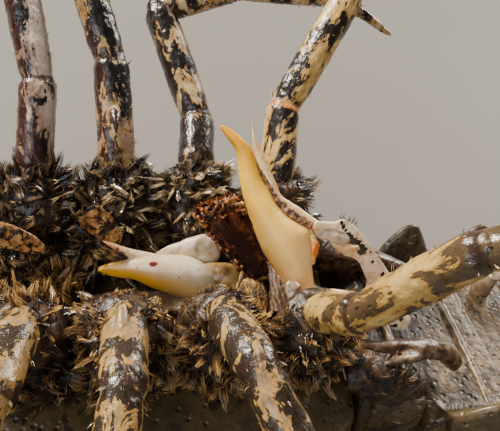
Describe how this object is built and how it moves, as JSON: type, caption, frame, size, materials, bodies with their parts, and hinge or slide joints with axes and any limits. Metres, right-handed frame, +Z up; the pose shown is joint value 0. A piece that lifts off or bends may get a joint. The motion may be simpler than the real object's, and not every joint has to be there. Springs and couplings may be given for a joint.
{
  "type": "crayfish model",
  "caption": "Life-size still model of a male spinycheek crayfish lying on its back, belly up, legs raised, claws forward, tail straight",
  "frame": {"origin": "centre of the flat on the carapace's back, where the animal rests on the floor", "axes": "+X toward the tail, +Y the animal's left, +Z up, which is its belly side"},
  "size_m": [0.1261, 0.098, 0.0344],
  "materials": {
    "shell": "wet, mottled brown-olive shell",
    "belly": "pale underside",
    "leg": "wet, ochre with dark mottles",
    "claw": "brown-olive with an orange tip",
    "feeler": "red-brown, ringed",
    "cornea": "black, glossy",
    "stylet": "cream to amber, horny"
  },
  "bodies": {
    "root": {"carapace": "shell", "sternum": "belly", "eyestalk_left": "belly", "eye_left": "cornea", "antenna_base_left": "belly", "antenna_inner_left": "feeler", "antenna_outer_left": "feeler", "antennule_left": "feeler", "maxilliped_left": "leg", "arm_left": "claw", "wrist_left": "claw", "palm_left": "claw", "finger_left": "claw", "leg_2_left_upper": "leg", "leg_2_left_lower": "leg", "leg_3_left_upper": "leg", "leg_3_left_lower": "leg", "leg_4_left_upper": "leg", "leg_4_left_lower": "leg", "leg_5_left_upper": "leg", "leg_5_left_lower": "leg", "stylet_left": "stylet", "stylet_stem_left": "stylet", "pleopod_2_left": "belly", "eyestalk_right": "belly", "eye_right": "cornea", "antenna_base_right": "belly", "antenna_inner_right": "feeler", "antenna_outer_right": "feeler", "antennule_right": "feeler", "maxilliped_right": "leg", "arm_right": "claw", "wrist_right": "claw", "palm_right": "claw", "finger_right": "claw", "leg_2_right_upper": "leg", "leg_2_right_lower": "leg", "leg_3_right_upper": "leg", "leg_3_right_lower": "leg", "leg_4_right_upper": "leg", "leg_4_right_lower": "leg", "leg_5_right_upper": "leg", "leg_5_right_lower": "leg", "stylet_right": "stylet", "stylet_stem_right": "stylet", "pleopod_2_right": "belly", "abdomen_1": "shell", "abdomen_2": "shell", "abdomen_3": "shell", "abdomen_4": "shell", "abdomen_5": "shell", "abdomen_6": "shell", "telson": "shell", "uropod_inner_left": "shell", "uropod_inner_right": "shell", "uropod_outer_left": "shell", "uropod_outer_right": "shell"}
  },
  "joints": []
}
